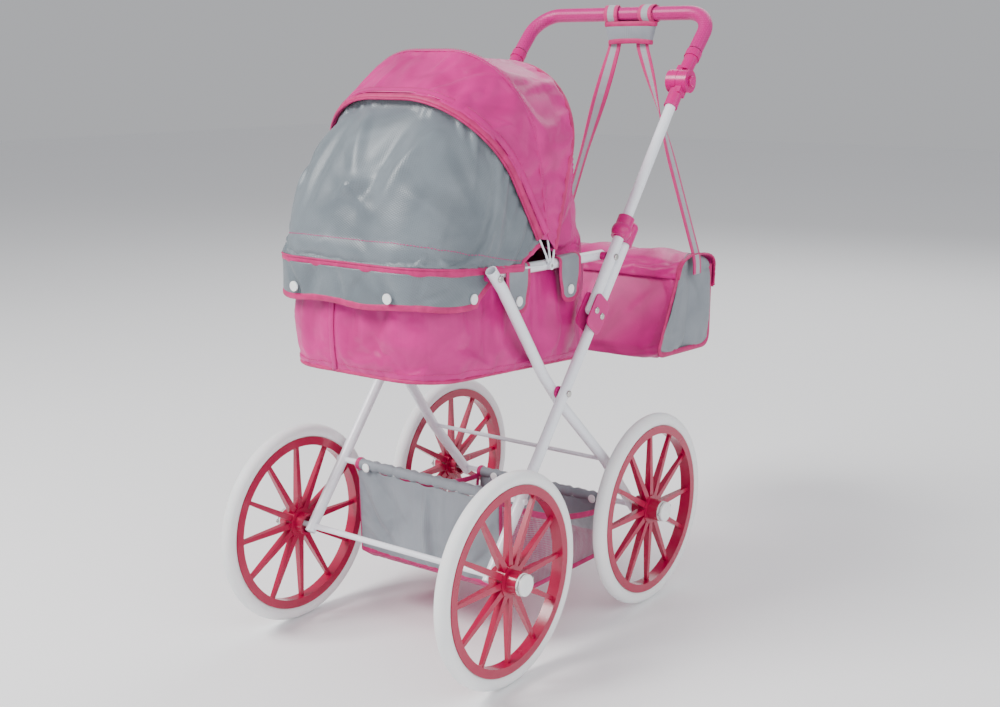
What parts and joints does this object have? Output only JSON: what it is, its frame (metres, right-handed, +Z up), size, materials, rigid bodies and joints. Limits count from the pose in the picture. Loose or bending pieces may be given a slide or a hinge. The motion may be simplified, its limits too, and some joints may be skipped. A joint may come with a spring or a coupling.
{
  "type": "doll stroller",
  "caption": "Folding doll stroller with spoked wheels, hooded cot, front apron, basket under the cot, push handle and a hanging bag.",
  "frame": {"origin": "on the floor, midway between the four wheels' contact points", "axes": "+Z up, -Y is the way it travels (foot end first), +X is its left side"},
  "size_m": [0.3652, 0.6511, 0.7328],
  "materials": {
    "white_tube": "white powder coat, gloss",
    "white_rod": "white powder coat, gloss",
    "pink_plastic": "injection moulded, satin gloss",
    "wheel_plastic": "injection moulded, gloss",
    "tyre_foam": "white EVA foam, matte",
    "cap_plastic": "white moulded, gloss",
    "rivet_steel": "nickel plated",
    "spring_wire": "bright drawn wire",
    "bow_wire": "white powder coat",
    "grip_vinyl": "pink textured foam vinyl",
    "pink_fabric": "woven nylon, coated",
    "grey_fabric": "woven ripstop nylon",
    "basket_fabric": "woven nylon and mesh",
    "webbing": "grey webbing with pink binding",
    "board": "corrugated plastic board",
    "snap_plastic": "white press snap"
  },
  "bodies": {
    "front_frame": {"front_leg_left": "white_tube", "front_leg_right": "white_tube", "fold_bracket_left": "pink_plastic", "fold_bracket_right": "pink_plastic", "front_axle": "white_rod", "basket_rod": "white_rod", "frame_rivets": "rivet_steel", "front_axle_caps": "cap_plastic", "front_axle_clips": "spring_wire", "basket": "basket_fabric"},
    "rear_frame": {"rear_leg_left": "white_tube", "rear_leg_right": "white_tube", "rear_cross_rod": "white_rod", "rear_axle": "white_rod", "pivot_spacers": "pink_plastic", "rear_leg_rivets": "rivet_steel", "rear_axle_caps": "cap_plastic", "rear_axle_clips": "spring_wire"},
    "handle": {"handle_tube_left": "white_tube", "handle_tube_right": "white_tube", "lower_sleeve_left": "pink_plastic", "lower_sleeve_right": "pink_plastic", "handle_rivets": "rivet_steel"},
    "grip": {"upper_sleeve_left": "pink_plastic", "upper_sleeve_right": "pink_plastic", "grip_tube": "white_tube", "grip_cover": "grip_vinyl"},
    "cot": {"cot_rail": "white_tube", "rail_spacers": "pink_plastic", "hood_rivets": "rivet_steel", "cot_tub": "pink_fabric", "base_board": "board", "cot_tabs": "grey_fabric", "tab_snaps": "snap_plastic"},
    "apron": {"apron_bow": "bow_wire", "apron_cover": "grey_fabric", "apron_skirt": "grey_fabric", "skirt_snaps": "snap_plastic"},
    "hood_rear": {"hood_rear_bow": "bow_wire", "hood_curtain": "pink_fabric"},
    "hood_middle": {"hood_middle_bow": "bow_wire"},
    "hood_front": {"hood_front_bow": "bow_wire", "hood_cover": "pink_fabric"},
    "bag": {"bag_body": "pink_fabric", "bag_straps": "webbing", "strap_pad": "grey_fabric"},
    "bag_flap": {"bag_flap": "pink_fabric"},
    "button_left": {"swivel_button_left": "pink_plastic"},
    "lock_left": {"fold_lock_left": "pink_plastic"},
    "front_wheel_left": {"front_tyre_left": "tyre_foam", "front_wheel_left": "wheel_plastic"},
    "rear_wheel_left": {"rear_tyre_left": "tyre_foam", "rear_wheel_left": "wheel_plastic"},
    "button_right": {"swivel_button_right": "pink_plastic"},
    "lock_right": {"fold_lock_right": "pink_plastic"},
    "front_wheel_right": {"front_tyre_right": "tyre_foam", "front_wheel_right": "wheel_plastic"},
    "rear_wheel_right": {"rear_tyre_right": "tyre_foam", "rear_wheel_right": "wheel_plastic"}
  },
  "joints": [
    {"name": "handle_fold", "type": "hinge", "parent": "front_frame", "child": "handle", "pos_m": [0, 0.04494, 0.38351], "axis": [1, 0, 0], "range_deg": [0, 118], "deforming": ["cot_tabs", "tab_snaps"]},
    {"name": "rear_leg_fold", "type": "hinge", "parent": "front_frame", "child": "rear_frame", "pos_m": [0, -0.00775, 0.29506], "axis": [1, 0, 0], "range_deg": [0, 61.2]},
    {"name": "cot_fold", "type": "hinge", "parent": "rear_frame", "child": "cot", "pos_m": [0, -0.13979, 0.44395], "axis": [1, 0, 0], "range_deg": [-21, 0]},
    {"name": "grip_swivel", "type": "hinge", "parent": "handle", "child": "grip", "pos_m": [0, 0.24036, 0.63818], "axis": [1, 0, 0], "range_deg": [-10, 40]},
    {"name": "hood_fold", "type": "hinge", "parent": "cot", "child": "hood_rear", "pos_m": [0, -0.02202, 0.44182], "axis": [1, 0, 0], "range_deg": [-46, 0], "deforming": ["hood_cover", "hood_curtain", "apron_cover"]},
    {"name": "hood_middle_fold", "type": "hinge", "parent": "hood_rear", "child": "hood_middle", "pos_m": [0, -0.02202, 0.44182], "axis": [1, 0, 0], "range_deg": [-17.1, 0], "deforming": ["hood_cover", "hood_curtain"]},
    {"name": "hood_front_fold", "type": "hinge", "parent": "hood_middle", "child": "hood_front", "pos_m": [0, -0.02202, 0.44182], "axis": [1, 0, 0], "range_deg": [-9.1, 0], "deforming": ["hood_cover", "hood_curtain"]},
    {"name": "apron_lift", "type": "hinge", "parent": "cot", "child": "apron", "pos_m": [0, -0.02202, 0.44182], "axis": [1, 0, 0], "range_deg": [-40, 0]},
    {"name": "bag_swing", "type": "hinge", "parent": "grip", "child": "bag", "pos_m": [0, 0.31993, 0.72203], "axis": [1, 0, 0], "range_deg": [-8, 45]},
    {"name": "flap_lift", "type": "hinge", "parent": "bag", "child": "bag_flap", "pos_m": [0, 0.296, 0.3997], "axis": [1, 0, 0], "range_deg": [0, 110], "deforming": ["bag_flap"]},
    {"name": "front_wheel_spin_left", "type": "hinge", "parent": "front_frame", "child": "front_wheel_left", "pos_m": [0.1565, -0.1475, 0.12], "axis": [1, 0, 0], "continuous": true},
    {"name": "rear_wheel_spin_left", "type": "hinge", "parent": "rear_frame", "child": "rear_wheel_left", "pos_m": [0.1565, 0.1475, 0.12], "axis": [1, 0, 0], "continuous": true},
    {"name": "lock_slide_left", "type": "slide", "parent": "handle", "child": "lock_left", "axis": [0, 0.6088, 0.7934], "range_m": [0, 0.028]},
    {"name": "button_push_left", "type": "slide", "parent": "handle", "child": "button_left", "axis": [-1, 0, 0], "range_m": [0, 0.0028], "stiffness_N_per_m": 500},
    {"name": "front_wheel_spin_right", "type": "hinge", "parent": "front_frame", "child": "front_wheel_right", "pos_m": [-0.1565, -0.1475, 0.12], "axis": [1, 0, 0], "continuous": true},
    {"name": "rear_wheel_spin_right", "type": "hinge", "parent": "rear_frame", "child": "rear_wheel_right", "pos_m": [-0.1565, 0.1475, 0.12], "axis": [1, 0, 0], "continuous": true},
    {"name": "lock_slide_right", "type": "slide", "parent": "handle", "child": "lock_right", "axis": [0, 0.6088, 0.7934], "range_m": [0, 0.028]},
    {"name": "button_push_right", "type": "slide", "parent": "handle", "child": "button_right", "axis": [1, 0, 0], "range_m": [0, 0.0028], "stiffness_N_per_m": 500}
  ],
  "couplings": [
    {"joint": "rear_leg_fold", "follows": "handle_fold", "ratio": 0.51819},
    {"joint": "cot_fold", "follows": "handle_fold", "ratio": -0.1776},
    {"joint": "hood_middle_fold", "follows": "hood_fold", "ratio": 0.36957},
    {"joint": "hood_front_fold", "follows": "hood_fold", "ratio": 0.19565}
  ]
}
